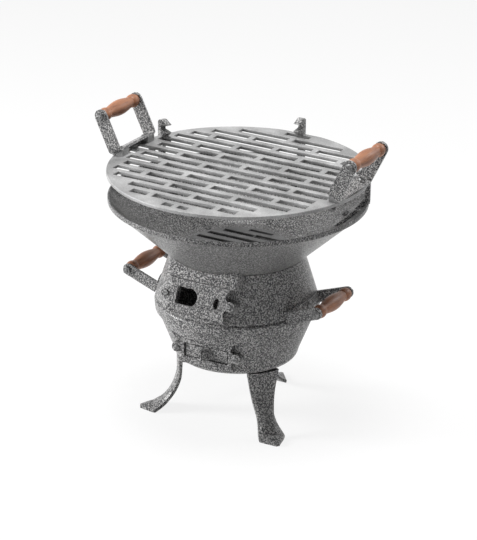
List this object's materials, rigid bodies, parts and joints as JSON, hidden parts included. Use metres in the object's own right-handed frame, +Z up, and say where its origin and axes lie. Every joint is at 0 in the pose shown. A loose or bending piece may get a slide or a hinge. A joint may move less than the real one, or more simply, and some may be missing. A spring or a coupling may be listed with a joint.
{
  "type": "charcoal brazier",
  "caption": "Round cast-iron charcoal brazier on splayed legs, with an ash base, a shuttered fire body, a wide coal bowl, a hooked cooking grate and wooden-gripped handles.",
  "frame": {"origin": "on the ground under the middle of the brazier", "axes": "+Z up; +X through the handles to the right; the fire door faces -Y and the draught door 3.5 degrees from it"},
  "size_m": [0.4226, 0.3736, 0.4379],
  "materials": {
    "hammertone": "silver and black hammered paint on cast iron",
    "raw_iron": "bare grey iron, ground along its bars",
    "grip_wood": "turned and stained, satin varnish",
    "bolt_steel": "plain steel screws, dulled"
  },
  "bodies": {
    "root": {"ash_base": "hammertone", "fire_body": "hammertone", "coal_bowl": "hammertone", "fire_door_frame": "hammertone", "draught_frame": "hammertone", "fire_frame_screw_left": "bolt_steel", "draught_frame_screw_left": "bolt_steel", "body_handle_left": "hammertone", "body_grip_left": "grip_wood", "body_grip_bolt_left": "bolt_steel", "body_handle_bolt_left": "bolt_steel", "fire_frame_screw_right": "bolt_steel", "draught_frame_screw_right": "bolt_steel", "body_handle_right": "hammertone", "body_grip_right": "grip_wood", "body_grip_bolt_right": "bolt_steel", "body_handle_bolt_right": "bolt_steel", "grate_post_right": "hammertone", "post_bolt_right": "bolt_steel", "grate_post_rear": "hammertone", "post_bolt_rear": "bolt_steel", "grate_post_left": "hammertone", "post_bolt_left": "bolt_steel", "leg_rear": "hammertone", "leg_bolt_rear": "bolt_steel", "leg_left": "hammertone", "leg_bolt_left": "bolt_steel", "leg_right": "hammertone", "leg_bolt_right": "bolt_steel", "bowl_bolt_right": "bolt_steel", "bowl_bolt_left": "bolt_steel", "bowl_bolt_front": "bolt_steel"},
    "cooking_grate": {"cooking_grate": "raw_iron", "grate_handle_left": "hammertone", "grate_grip_left": "grip_wood", "grate_grip_bolt_left": "bolt_steel", "grate_handle_bolt_left_front": "bolt_steel", "grate_handle_bolt_left_rear": "bolt_steel", "grate_handle_right": "hammertone", "grate_grip_right": "grip_wood", "grate_grip_bolt_right": "bolt_steel", "grate_handle_bolt_right_front": "bolt_steel", "grate_handle_bolt_right_rear": "bolt_steel"},
    "fire_door_shutter": {"fire_door_shutter": "hammertone"},
    "draught_door": {"draught_door": "hammertone"},
    "fire_grate": {"fire_grate": "raw_iron"}
  },
  "joints": [
    {"name": "grate_slide", "type": "slide", "parent": "root", "child": "cooking_grate", "axis": [0, -1, 0], "range_m": [0, 0.06]},
    {"name": "shutter_slide", "type": "slide", "parent": "root", "child": "fire_door_shutter", "axis": [-1, 0, 0], "range_m": [0, 0.024]},
    {"name": "draught_door_pull", "type": "slide", "parent": "root", "child": "draught_door", "axis": [0.061, -0.9981, 0], "range_m": [0, 0.045]},
    {"name": "fire_grate_lift", "type": "slide", "parent": "root", "child": "fire_grate", "axis": [0, 0, 1], "range_m": [0, 0.09]}
  ]
}
